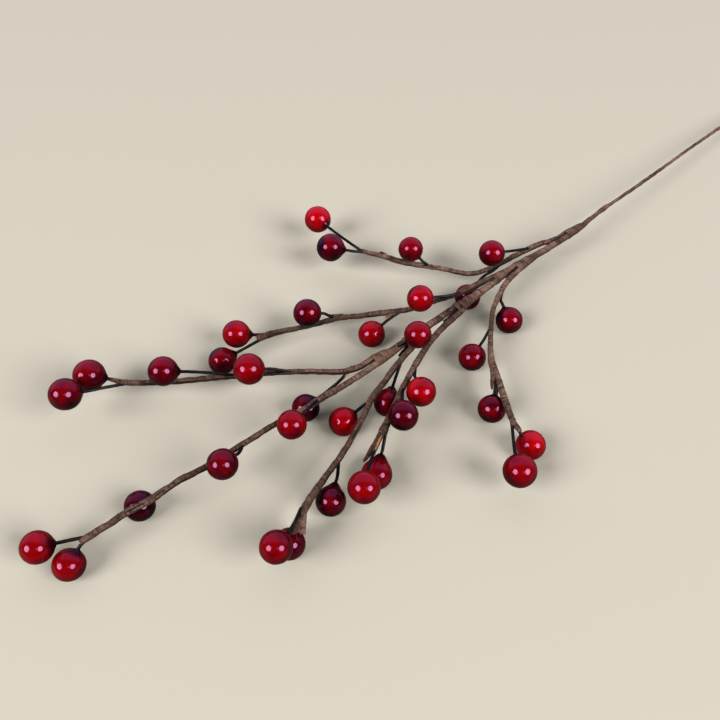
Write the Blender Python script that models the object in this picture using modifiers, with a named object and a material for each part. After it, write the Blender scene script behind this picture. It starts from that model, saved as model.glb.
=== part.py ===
"""Artificial red berry spray: 35 lacquered beads on thin wires, bound with paper tape onto a
main stem and six side stems. It lies on a table, main stem along X, cut end at +X."""
import math
from collections import namedtuple

import bpy
import bmesh
from mathutils import Vector

MM = 0.001

# The layout below is drawn round the main stem. This shift centres the whole spray's box.
LAYOUT_SHIFT = Vector((0.0, 1.8, 0.0)) * MM

# Stems
STEM_STEP = 4.6             # distance between a stem's cross-sections
STEM_SIDES = 2              # bevel resolution: 8 sides
WIRE_RADIUS = 0.5
WIRE_STEP = 2.5
WIRE_SIDES = 1              # bevel resolution: 6 sides

# Beads
BEAD_SIDES = 12
BEAD_ARCS = 7               # facets from the far pole down to the neck
NECK_ANGLE = math.radians(154)
NECK_LENGTH = 1.5           # lacquer point beyond the bead's surface
NECK_RADIUS = 0.98
SOCKET_RADIUS = 0.86        # hole that the wire is glued into
SOCKET_DEPTH = 1.6          # inward from the bead's surface
WIRE_REACH = 1.2            # how far the wire's end stands inside the surface
FLAT_SPOT = 0.4             # depth of the flat that a low bead rests on

# Routes: x, y, z and radius in millimetres, from the thick end to the tip
MAIN_STEM = [
    (197, 7.5, 0.9, 0.85), (165, 6, 2.9, 0.85), (132, 4, 4.9, 0.8), (106, 2.3, 6.1, 0.85),
    (84, 0.5, 7.1, 0.85), (60, -1.2, 8.1, 0.9), (48, -2, 8.8, 1.0), (44, -2.2, 9, 1.25),
    (38, -3, 9.2, 1.1), (28, -4, 9.6, 1.3), (18, -5, 9.8, 1.2), (8, -4.8, 9.8, 1.3),
    (-2, -4.3, 9.8, 1.9), (-8, -4.5, 9.9, 1.7), (-14, -5, 9.9, 1.4), (-24, -5, 9.9, 1.3),
    (-33, -5.4, 10, 1.9), (-38, -5.6, 10, 1.6), (-46, -5.1, 10, 1.35), (-57, -5.6, 10, 1.4),
    (-68, -6.1, 10, 1.65), (-78, -7, 10, 1.3), (-86, -7.3, 10.1, 1.1), (-93, -7.4, 10.2, 1.1),
    (-100, -6.6, 10.3, 1.0), (-106, -7, 10.4, 0.95), (-116, -6.2, 10.5, 0.95), (-133, -6, 10.5, 0.95),
    (-143, -5.8, 10.5, 0.9), (-151, -4.8, 10.5, 0.9), (-161, -4.9, 10.4, 0.9), (-167, -4.7, 10, 0.9),
    (-174, -4.2, 9.6, 0.85), (-180, -4.6, 9.1, 0.7),
]
SIDE_STEMS = {
    "side_stem_a": [
        (29, -1.2, 9.9, 0.7), (23, -1.9, 10, 0.9), (17, -1.8, 9.9, 1.0), (8.5, 0.2, 8.9, 0.95),
        (0.5, 2, 7.9, 0.9), (-9, 3.2, 7.2, 0.9), (-18, 4.4, 7, 0.9), (-23, 7.5, 6.8, 0.9),
        (-27.8, 14.6, 6.6, 0.85), (-34, 21.6, 6.7, 0.85), (-38.8, 26.4, 7.7, 0.85),
        (-43, 31.5, 9.2, 0.85), (-49, 37.5, 10.9, 0.8),
    ],
    "side_stem_b": [
        (-2.5, -7.5, 9.9, 0.7), (-9, -7.8, 9.9, 0.95), (-16, -8.3, 9.8, 0.95), (-22.5, -10, 9.7, 0.95),
        (-29.5, -13.8, 9.5, 0.85), (-36.5, -20, 9.3, 0.85), (-43, -26.5, 9.1, 0.85),
        (-47.5, -33, 9.1, 1.0), (-51, -40.5, 9.1, 0.9), (-55, -48, 9.1, 0.9), (-57.5, -53.5, 9.2, 0.7),
    ],
    "side_stem_c": [
        (-10.5, -1.6, 10.1, 0.7), (-15, -1.9, 10.5, 1.0), (-20, -2, 10.9, 1.0), (-29.5, -1.6, 11.2, 1.0),
        (-36.5, -0.4, 10.6, 1.0), (-42.5, 1.6, 9.7, 0.95), (-47.2, 4, 8.6, 0.95), (-52, 6.2, 7.8, 0.95),
        (-57.5, 9.4, 7.4, 1.0), (-67, 15, 7, 0.95), (-73.3, 19, 6.7, 0.9), (-80.9, 21.8, 6.5, 0.9),
        (-88.3, 24.2, 7, 0.9), (-95.7, 26.7, 7.6, 0.95), (-101, 28, 8.1, 0.8),
    ],
    "side_stem_d": [
        (-34, -9.1, 9.9, 0.7), (-39, -8.9, 9.9, 0.95), (-46, -9, 9.9, 0.95), (-57, -11.6, 9.9, 1.0),
        (-65, -14.4, 9.9, 1.0), (-72, -17.8, 9.8, 1.05), (-79, -21.3, 9.7, 1.0), (-85.3, -24.6, 9.6, 1.0),
        (-91, -28.2, 9.5, 0.9), (-98.5, -32, 9.6, 0.85), (-101.3, -33.3, 9.7, 0.7),
    ],
    "side_stem_e": [
        (-56, -8.8, 9.4, 0.6), (-60, -9.2, 9.7, 0.9), (-67, -10, 9.9, 1.0), (-73.7, -12.2, 9.9, 1.0),
        (-80.4, -14.6, 9.8, 1.0), (-86.7, -17, 9.7, 1.0), (-93, -20.3, 9.6, 0.95),
        (-99.6, -23.8, 9.4, 0.95), (-107, -27.3, 9.3, 0.95), (-114.5, -30, 9.3, 0.9),
        (-121.5, -33, 9.4, 0.9), (-127, -35, 9.8, 1.0), (-130.5, -38.8, 11, 1.6),
    ],
    "side_stem_f": [
        (-71, -3.1, 10, 0.7), (-76.5, -3.6, 10, 0.95), (-82, -3.2, 9.8, 0.95), (-88.5, -1.5, 9.6, 0.95),
        (-97, 5.3, 9.2, 0.9), (-105.6, 11.7, 8.8, 0.9), (-113, 16.6, 8.4, 0.9), (-123.3, 23.7, 7.8, 0.9),
        (-131.8, 29.3, 7.2, 0.9), (-140.7, 34, 8.7, 0.9), (-147, 37.5, 10.2, 0.95), (-150, 40, 11, 0.8),
    ],
}

# A bead's centre is x, y and height. Height None means that the bead rests on the table.
# Its wire leaves the named stem at the first point and heads for the bead from the last one.
Berry = namedtuple("Berry", "number stem radius centre wire")
BERRIES = [
    Berry(1, "side_stem_a", 5.1, (-51.5, 61.5, 11), [(-48.6, 36.8, 10.8), (-50.2, 47, 11.2)]),
    Berry(2, "side_stem_a", 5.2, (-57.5, 45, 12), [(-48, 36.4, 10.6), (-52, 38.4, 11.9)]),
    Berry(3, "side_stem_a", 4.6, (-35, 25, 13), [(-30.8, 18, 6.7), (-33.4, 17.6, 9.2)]),
    Berry(4, "side_stem_a", 4.8, (-13, 4.5, 13.5), [(-0.5, 2.1, 7.8), (-5.6, 1.4, 12)]),
    Berry(5, "side_stem_a", 4.7, (-28.5, -0.5, None), [(-16, 4.1, 7.1), (-20.5, 2.9, 5.3)]),
    Berry(6, "side_stem_c", 4.7, (-49.5, 3, 14.8), [(-37.5, 0, 10.5), (-42, -0.3, 13.5)]),
    Berry(7, "side_stem_c", 4.75, (-67.5, 7.5, None), [(-55, 7.9, 7.6), (-59.3, 8.9, 5.8)]),
    Berry(8, "main_stem", 4.6, (-61.5, -9.5, 16), [(-74, -6.6, 10), (-69, -6.7, 13)]),
    Berry(9, "side_stem_c", 4.9, (-83.5, 23.5, 12.6), [(-74.5, 19.5, 6.7), (-77.6, 19.3, 8.4)]),
    Berry(10, "side_stem_c", 4.8, (-107, 33, 9.6), [(-98.2, 27.3, 7.9), (-101.2, 28.4, 8.9)]),
    Berry(11, "side_stem_c", 4.7, (-115.5, 30, None), [(-97.5, 27.1, 7.8), (-107.3, 28.6, 5.4)]),
    Berry(12, "side_stem_f", 5.1, (-113.5, 13.5, 15.5), [(-101, 8.3, 9), (-106.2, 11.7, 11.4)]),
    Berry(13, "side_stem_f", 4.9, (-135.5, 31, 14),
          [(-116, 18.7, 8.3), (-122, 22.6, 10.6), (-128.4, 26.5, 12.6)]),
    Berry(14, "side_stem_f", 5.2, (-155, 45.5, 12.5), [(-147.5, 37.9, 10.3), (-149.4, 40.4, 11.6)]),
    Berry(15, "side_stem_f", 5.1, (-164.5, 40, 16.5),
          [(-146.5, 37.2, 10.1), (-152.3, 37, 12.3), (-156.8, 36.5, 13.9)]),
    Berry(16, "side_stem_f", 4.6, (-104, -3.5, None),
          [(-84, -2.8, 9.7), (-90, -4, 8.3), (-95.5, -3.3, 5.5)]),
    Berry(17, "main_stem", 4.6, (-114.5, -12, 15), [(-100.5, -6.7, 10.3), (-106.6, -9.6, 13.7)]),
    Berry(18, "side_stem_e", 4.8, (-97.5, -15.5, None), [(-87.8, -17.5, 9.7), (-89.6, -15.9, 7)]),
    Berry(19, "main_stem", 4.7, (-138.5, -11, 15.5), [(-126.5, -6.1, 10.5), (-130.6, -10, 14.1)]),
    Berry(20, "main_stem", 4.65, (-163.5, -1.5, None), [(-151, -4.8, 10.5), (-156.4, -1.7, 8.5)]),
    Berry(21, "main_stem", 4.75, (-192.5, 2, 9.3), [(-177.5, -4.4, 9.4), (-185.3, -1.5, 9.2)]),
    Berry(22, "main_stem", 4.7, (-188, -5.5, None), [(-177, -4.4, 9.4), (-180.8, -5, 8.6)]),
    Berry(23, "side_stem_e", 4.75, (-140, -41, 13.3), [(-126.5, -34.9, 9.8), (-132, -38.9, 13)]),
    Berry(24, "side_stem_e", 4.7, (-135, -39, None), [(-125.5, -34.5, 9.7), (-128, -37.5, 8.2)]),
    Berry(25, "side_stem_e", 4.65, (-117.5, -35.5, None), [(-108.6, -27.9, 9.3), (-111.1, -30.4, 5.5)]),
    Berry(26, "side_stem_d", 4.9, (-109.5, -41.5, 12.9), [(-98.5, -32, 9.6), (-103.4, -35.8, 11.8)]),
    Berry(27, "side_stem_d", 4.85, (-101, -37, None), [(-90.5, -27.9, 9.5), (-94.5, -31.6, 5.8)]),
    Berry(28, "side_stem_e", 4.6, (-81.5, -18.5, None), [(-69, -10.7, 9.9), (-74.9, -14.1, 6.2)]),
    Berry(29, "side_stem_d", 4.8, (-85, -30, 14), [(-76.5, -20, 9.7), (-80, -23.7, 12.9)]),
    Berry(30, "side_stem_d", 4.85, (-73.5, -25.5, 11.5), [(-67, -15.4, 9.9), (-70.2, -18.6, 10.2)]),
    Berry(31, "side_stem_b", 4.8, (-24.5, -18, None), [(-20, -9.1, 9.8), (-22.8, -11.2, 8.3)]),
    Berry(32, "side_stem_b", 4.75, (-46.5, -22, None), [(-35, -18.6, 9.3), (-38.8, -19.6, 5.9)]),
    Berry(33, "side_stem_b", 4.65, (-56, -41.5, None), [(-47, -32.2, 9.1), (-50.6, -35.5, 8.2)]),
    Berry(34, "side_stem_b", 4.75, (-56, -59, None), [(-55.3, -48.6, 9.1), (-57, -51.5, 7.6)]),
    Berry(35, "side_stem_b", 5.15, (-68.5, -65, 10.5),
          [(-56, -50.3, 9.1), (-60.8, -54.9, 10.1), (-64, -57.6, 10.5)]),
]

TAPE_BROWN = (0.13, 0.07, 0.05, 1)
BRIGHT_RED = (0.42, 0.008, 0.02, 1)
BURGUNDY = (0.14, 0.004, 0.015, 1)
BRIGHT_BERRIES = {1, 6, 7, 8, 10, 12, 17, 18, 21, 22, 23, 26, 30, 34, 35}


def clear_scene():
    for old in list(bpy.data.objects):
        bpy.data.objects.remove(old)


def new_collection(name):
    group = bpy.data.collections.new(name)
    bpy.context.scene.collection.children.link(group)
    return group


def principled(name, colour, roughness):
    surface = bpy.data.materials.new(name)
    surface.use_nodes = True
    shader = surface.node_tree.nodes["Principled BSDF"]
    shader.inputs["Base Color"].default_value = colour
    shader.inputs["Roughness"].default_value = roughness
    shader.inputs["Metallic"].default_value = 0.0
    return surface


def curve_at(points, index, share):
    """A smooth curve through the points, Catmull and Rom's, between points index and index + 1."""
    last = len(points) - 1
    p0, p1, p2, p3 = (points[min(max(index + k, 0), last)] for k in (-1, 0, 1, 2))
    return [
        0.5 * (2 * b + (c - a) * share + (2 * a - 5 * b + 4 * c - d) * share ** 2
               + (3 * b - a - 3 * c + d) * share ** 3)
        for a, b, c, d in zip(p0, p1, p2, p3)
    ]


def smooth_route(points, step):
    """Cross-sections about a step apart along the smooth curve through a route's points."""
    sections = []
    for index in range(len(points) - 1):
        length = math.dist(points[index][:3], points[index + 1][:3])
        count = max(1, round(length / step))
        sections += [curve_at(points, index, n / count) for n in range(count)]
    sections.append(list(points[-1]))
    return sections


def tube(name, sections, resolution, group):
    """A round stem whose radius follows its cross-sections, as one welded mesh."""
    curve = bpy.data.curves.new(name, "CURVE")
    curve.dimensions = "3D"
    curve.bevel_depth = MM
    curve.bevel_resolution = resolution
    curve.use_fill_caps = True
    spline = curve.splines.new("POLY")
    spline.points.add(len(sections) - 1)
    for point, (x, y, z, radius) in zip(spline.points, sections):
        point.co = (x * MM, y * MM, z * MM, 1)
        point.radius = radius
    guide = bpy.data.objects.new(name + "_curve", curve)
    group.objects.link(guide)
    bpy.context.view_layer.update()
    mesh = bpy.data.meshes.new_from_object(guide.evaluated_get(bpy.context.evaluated_depsgraph_get()))
    bpy.data.objects.remove(guide)
    welded = bmesh.new()
    welded.from_mesh(mesh)
    bmesh.ops.remove_doubles(welded, verts=welded.verts, dist=0.00001)
    bmesh.ops.recalc_face_normals(welded, faces=welded.faces)
    welded.to_mesh(mesh)
    welded.free()
    solid = bpy.data.objects.new(name, mesh)
    group.objects.link(solid)
    return solid


def fuse(solid, group):
    """Joins a collection of solids to one solid with a single Boolean union."""
    union = solid.modifiers.new("union", "BOOLEAN")
    union.operation = "UNION"
    union.operand_type = "COLLECTION"
    union.collection = group
    union.solver = "EXACT"
    bpy.context.view_layer.update()
    evaluated = solid.evaluated_get(bpy.context.evaluated_depsgraph_get())
    joined = bpy.data.meshes.new_from_object(evaluated)
    solid.modifiers.clear()
    solid.data = joined
    for extra in list(group.objects):
        bpy.data.objects.remove(extra)
    bpy.data.collections.remove(group)


def bead_centre(berry):
    x, y, z = berry.centre
    if z is None:
        z = berry.radius - FLAT_SPOT
    return Vector((x, y, z))


def wire_direction(berry):
    """From the bead's centre out through its neck."""
    return (Vector(berry.wire[-1]) - bead_centre(berry)).normalized()


def wire_route(berry):
    centre = bead_centre(berry)
    direction = wire_direction(berry)
    neck = centre + direction * (berry.radius + NECK_LENGTH)
    end = centre + direction * (berry.radius - WIRE_REACH)
    return [(*point, WIRE_RADIUS) for point in [*berry.wire, neck, end]]


def build_stem(name, route, group):
    """One taped stem with the wires of its own berries sunk into it."""
    stem = tube(name, smooth_route(route, STEM_STEP), STEM_SIDES, group)
    wires = new_collection(name + "_wires")
    for berry in BERRIES:
        if berry.stem == name:
            tube(f"wire_{berry.number:02d}", smooth_route(wire_route(berry), WIRE_STEP), WIRE_SIDES, wires)
    fuse(stem, wires)
    stem.data.materials.clear()
    stem.data.materials.append(principled(name + "_tape", TAPE_BROWN, 0.85))
    stem.data.shade_smooth()
    stem.data.set_sharp_from_angle(angle=math.radians(50))
    return stem


def bead_profile(radius):
    """Half outline in the XZ plane, from the far pole down to the neck and into the socket."""
    outline = [
        (radius * math.sin(NECK_ANGLE * n / BEAD_ARCS), radius * math.cos(NECK_ANGLE * n / BEAD_ARCS))
        for n in range(BEAD_ARCS + 1)
    ]
    outline.append((NECK_RADIUS, -(radius + NECK_LENGTH)))
    outline.append((SOCKET_RADIUS, -(radius + NECK_LENGTH)))
    outline.append((SOCKET_RADIUS, -(radius - SOCKET_DEPTH)))
    outline.append((0.0, -(radius - SOCKET_DEPTH)))
    return outline


def build_bead(berry, table, group):
    """A lacquered bead turned round its wire's direction, flattened where it rests."""
    name = f"berry_{berry.number:02d}"
    mesh = bpy.data.meshes.new(name)
    outline = [(x * MM, 0, z * MM) for x, z in bead_profile(berry.radius)]
    mesh.from_pydata(outline, [(n, n + 1) for n in range(len(outline) - 1)], [])
    bead = bpy.data.objects.new(name, mesh)
    bead.location = bead_centre(berry) * MM
    bead.rotation_mode = "QUATERNION"
    bead.rotation_quaternion = wire_direction(berry).to_track_quat("-Z", "Y")
    group.objects.link(bead)
    screw = bead.modifiers.new("turn", "SCREW")
    screw.steps = BEAD_SIDES
    screw.render_steps = BEAD_SIDES
    screw.use_merge_vertices = True
    screw.merge_threshold = 0.00001
    if berry.centre[2] is None:
        flat = bead.modifiers.new("flat spot", "BOOLEAN")
        flat.operation = "DIFFERENCE"
        flat.object = table
        flat.solver = "EXACT"
    colour = BRIGHT_RED if berry.number in BRIGHT_BERRIES else BURGUNDY
    mesh.materials.append(principled(name + "_lacquer", colour, 0.15))
    return bead


def table_cutter(group):
    """A slab under the table plane, which flattens the beads that rest on it."""
    bpy.ops.mesh.primitive_cube_add(size=1)
    slab = bpy.context.active_object
    slab.name = "table_cutter"
    slab.scale = (0.5, 0.3, 0.01)
    slab.location = (0, 0, -0.005)
    slab.hide_render = True
    slab.display_type = "WIRE"
    for other in list(slab.users_collection):
        other.objects.unlink(slab)
    group.objects.link(slab)
    return slab


def main():
    clear_scene()
    spray = new_collection("berry_spray")
    cutters = new_collection("cutters")
    origin = bpy.data.objects.new("spray_origin", None)
    spray.objects.link(origin)
    table = table_cutter(cutters)
    pieces = [build_stem("main_stem", MAIN_STEM, spray)]
    pieces += [build_stem(name, route, spray) for name, route in SIDE_STEMS.items()]
    pieces += [build_bead(berry, table, spray) for berry in BERRIES]
    for piece in pieces:
        piece.parent = origin
    table.parent = origin
    origin.location = LAYOUT_SHIFT


main()
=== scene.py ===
"""Looks of the artificial red berry spray: lacquered beads, thin dark wires, crepe-paper tape."""

import math
from collections import namedtuple

import bmesh
import bpy
from mathutils import Matrix, Vector, noise


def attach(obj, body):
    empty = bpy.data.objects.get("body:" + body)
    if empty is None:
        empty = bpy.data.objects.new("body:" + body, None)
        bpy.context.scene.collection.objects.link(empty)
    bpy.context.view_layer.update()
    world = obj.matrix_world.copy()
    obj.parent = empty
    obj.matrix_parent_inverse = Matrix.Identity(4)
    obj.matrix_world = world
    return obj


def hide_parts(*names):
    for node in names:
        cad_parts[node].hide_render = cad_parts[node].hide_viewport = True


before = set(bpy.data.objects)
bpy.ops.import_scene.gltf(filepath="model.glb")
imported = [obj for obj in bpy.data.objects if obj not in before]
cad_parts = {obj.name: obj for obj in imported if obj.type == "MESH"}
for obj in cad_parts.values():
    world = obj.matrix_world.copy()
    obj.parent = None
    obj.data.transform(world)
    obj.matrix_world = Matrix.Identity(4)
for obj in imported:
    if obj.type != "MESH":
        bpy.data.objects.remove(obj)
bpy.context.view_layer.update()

# Routes and beads are given in millimetres round the main stem, as in the part's own layout.
MM = 0.001
LAYOUT_SHIFT = Vector((0.0, 1.8, 0.0)) * MM
TO_ROW = Matrix.Translation(LAYOUT_SHIFT) @ Matrix.Scale(MM, 4)
SIDEWAYS = Vector((0, 1, 0))
UP = Vector((0, 0, 1))

# Stems: x, y, z and radius, from the thick end to the tip
MAIN_STEM = [
    (197, 7.5, 0.9, 0.85), (165, 6, 2.9, 0.78), (132, 4.1, 4.9, 0.68), (106, 2.4, 6.1, 0.66),
    (84, 0.6, 7.1, 0.66), (60, -1.1, 8.1, 0.68), (48.5, -1.8, 8.8, 0.68), (44, -2, 9, 1.1),
    (39.5, -2.5, 9.2, 0.8), (34, -3.1, 9.4, 0.92), (28, -3.9, 9.6, 1.05), (20, -4.4, 9.8, 1.1),
    (8, -4.3, 9.8, 1.2), (2, -4.1, 9.8, 1.25), (-4, -3.6, 9.8, 1.2), (-8, -3.1, 9.9, 1.0),
    (-12, -3.4, 9.9, 1.05), (-16, -4.1, 9.9, 1.15), (-24, -4.8, 9.9, 1.2), (-28, -4.9, 10, 1.45),
    (-32, -5.2, 10, 1.5), (-35, -5, 10, 1.3), (-38, -4.6, 10, 1.1), (-46, -5, 10, 1.2),
    (-57, -5.4, 10, 1.35), (-68, -6.1, 10, 1.5), (-78, -7.1, 10, 1.1), (-86, -7.4, 10.1, 1.0),
    (-93, -7.4, 10.2, 1.05), (-100, -7, 10.3, 1.15), (-106, -7.2, 10.4, 0.95),
    (-116, -6.2, 10.5, 0.95), (-133, -6, 10.5, 0.95), (-143, -5.8, 10.5, 0.95),
    (-151, -4.9, 10.5, 1.0), (-156, -5.3, 10.3, 0.78), (-161, -5.5, 10.2, 0.74),
    (-167, -4.8, 10.1, 0.76), (-174, -4.3, 9.6, 1.02), (-179, -4, 9.2, 1.12), (-182.4, -4, 9, 0.95),
]
SIDE_STEMS = {
    "side_stem_a": [
        (30, -3.4, 9.9, 0.6), (24, -3, 10, 0.8), (19.5, -2.8, 10, 0.85), (16, -2.8, 9.8, 0.9),
        (12, -1.9, 9.5, 0.95), (8.5, -0.2, 8.9, 1.0), (0.5, 1.5, 7.9, 1.0), (-9, 2.6, 7.2, 0.97),
        (-18, 4.2, 7, 0.95), (-23, 7.4, 6.8, 0.92), (-27.8, 14.6, 6.6, 0.9), (-34, 21.8, 6.8, 1.0),
        (-38.8, 26.6, 7.8, 1.05), (-43, 31.5, 9.2, 0.92), (-49, 37.5, 10.9, 0.8),
    ],
    "side_stem_b": [
        (2, -4.9, 9.9, 0.7), (-4, -5.2, 9.9, 0.85), (-8, -5.7, 9.9, 0.85), (-12, -6.3, 9.9, 0.95),
        (-16, -7.2, 9.8, 0.97), (-20, -8.7, 9.8, 0.95), (-23.5, -10.4, 9.7, 0.95),
        (-29.5, -13.8, 9.5, 0.88), (-36.5, -20, 9.3, 0.88), (-43, -26.5, 9.1, 0.95),
        (-46.5, -31.3, 9.1, 1.2), (-48.6, -35.6, 9.1, 1.05), (-52.2, -42, 9.1, 1.1),
        (-55.3, -47.8, 9.1, 1.05), (-56.8, -50.6, 9.2, 1.0), (-57.5, -52.8, 9.4, 0.95),
        (-58, -55, 9.6, 0.75),
    ],
    "side_stem_c": [
        (-8, -3.2, 10, 0.6), (-12, -3.2, 10.3, 0.75), (-16, -3.05, 10.6, 0.85),
        (-20, -2.8, 10.9, 0.92), (-24, -2.2, 11.1, 0.88), (-30.5, -1.6, 11.1, 0.88),
        (-35.3, -1, 10.9, 0.8), (-38.5, -0.2, 10.5, 0.7), (-42, 1.5, 9.8, 0.65),
        (-47.2, 4, 8.6, 0.85), (-52, 6.2, 7.8, 1.0), (-57.5, 9.4, 7.4, 1.1), (-62, 12.2, 7.2, 1.1),
        (-67, 15, 7, 0.97), (-73.3, 19, 6.7, 0.9), (-80.9, 21.8, 6.5, 0.9), (-88.3, 24.2, 7, 0.9),
        (-94, 26.4, 7.4, 1.0), (-98.5, 27.4, 7.8, 1.2), (-101.8, 28.1, 8, 1.3),
    ],
    "side_stem_d": [
        (-31, -6, 9.9, 0.6), (-35, -6.3, 9.9, 0.9), (-38.5, -7.1, 9.9, 0.95), (-41, -7.8, 9.9, 1.0),
        (-46, -8.4, 9.9, 1.05), (-52, -9.6, 9.9, 1.1), (-57, -11.1, 9.9, 1.05),
        (-65, -14.4, 9.9, 1.15), (-72, -17.7, 9.8, 1.05), (-79, -21.2, 9.7, 1.0),
        (-85.3, -24.9, 9.6, 1.0), (-88.5, -26.8, 9.6, 1.15), (-91.2, -28.1, 9.6, 1.2),
        (-93.2, -29.2, 9.6, 1.0), (-96.6, -30.7, 9.6, 0.95), (-100.3, -32.3, 9.7, 0.75),
        (-103.2, -33.4, 9.9, 0.45),
    ],
    "side_stem_e": [
        (-53, -7, 9.6, 0.6), (-60, -8.3, 9.8, 0.9), (-64, -9.3, 9.9, 0.95), (-67, -10, 9.9, 1.0),
        (-73.7, -12.1, 9.9, 1.0), (-80.4, -14.6, 9.8, 1.0), (-86.7, -16.7, 9.7, 1.05),
        (-93, -20.3, 9.6, 1.0), (-99.6, -23.8, 9.4, 0.97), (-107, -27.2, 9.3, 0.95),
        (-114.5, -29.9, 9.3, 0.95), (-121.5, -32.6, 9.4, 1.1), (-126, -34.8, 9.8, 1.15),
        (-129, -37.4, 10.4, 0.8),
    ],
    "side_stem_f": [
        (-68, -5.2, 10, 0.6), (-72, -4.8, 10, 0.8), (-76.5, -4.5, 10, 0.92), (-82, -4.3, 9.8, 0.95),
        (-86, -3.2, 9.7, 0.95), (-88.7, -1.9, 9.6, 0.95), (-93, 1.7, 9.4, 0.93),
        (-97, 5.2, 9.2, 0.93), (-105.6, 11.7, 8.8, 0.95), (-113, 16.6, 8.4, 0.95),
        (-123.3, 23.6, 7.8, 0.97), (-131.8, 29.2, 7.2, 0.95), (-140.7, 34, 8.7, 0.95),
        (-146.3, 37.4, 9.9, 1.0), (-148.2, 39.1, 10.2, 0.9), (-149.6, 40.7, 10.6, 0.72),
        (-150.6, 41.8, 10.8, 0.55),
    ],
}

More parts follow.
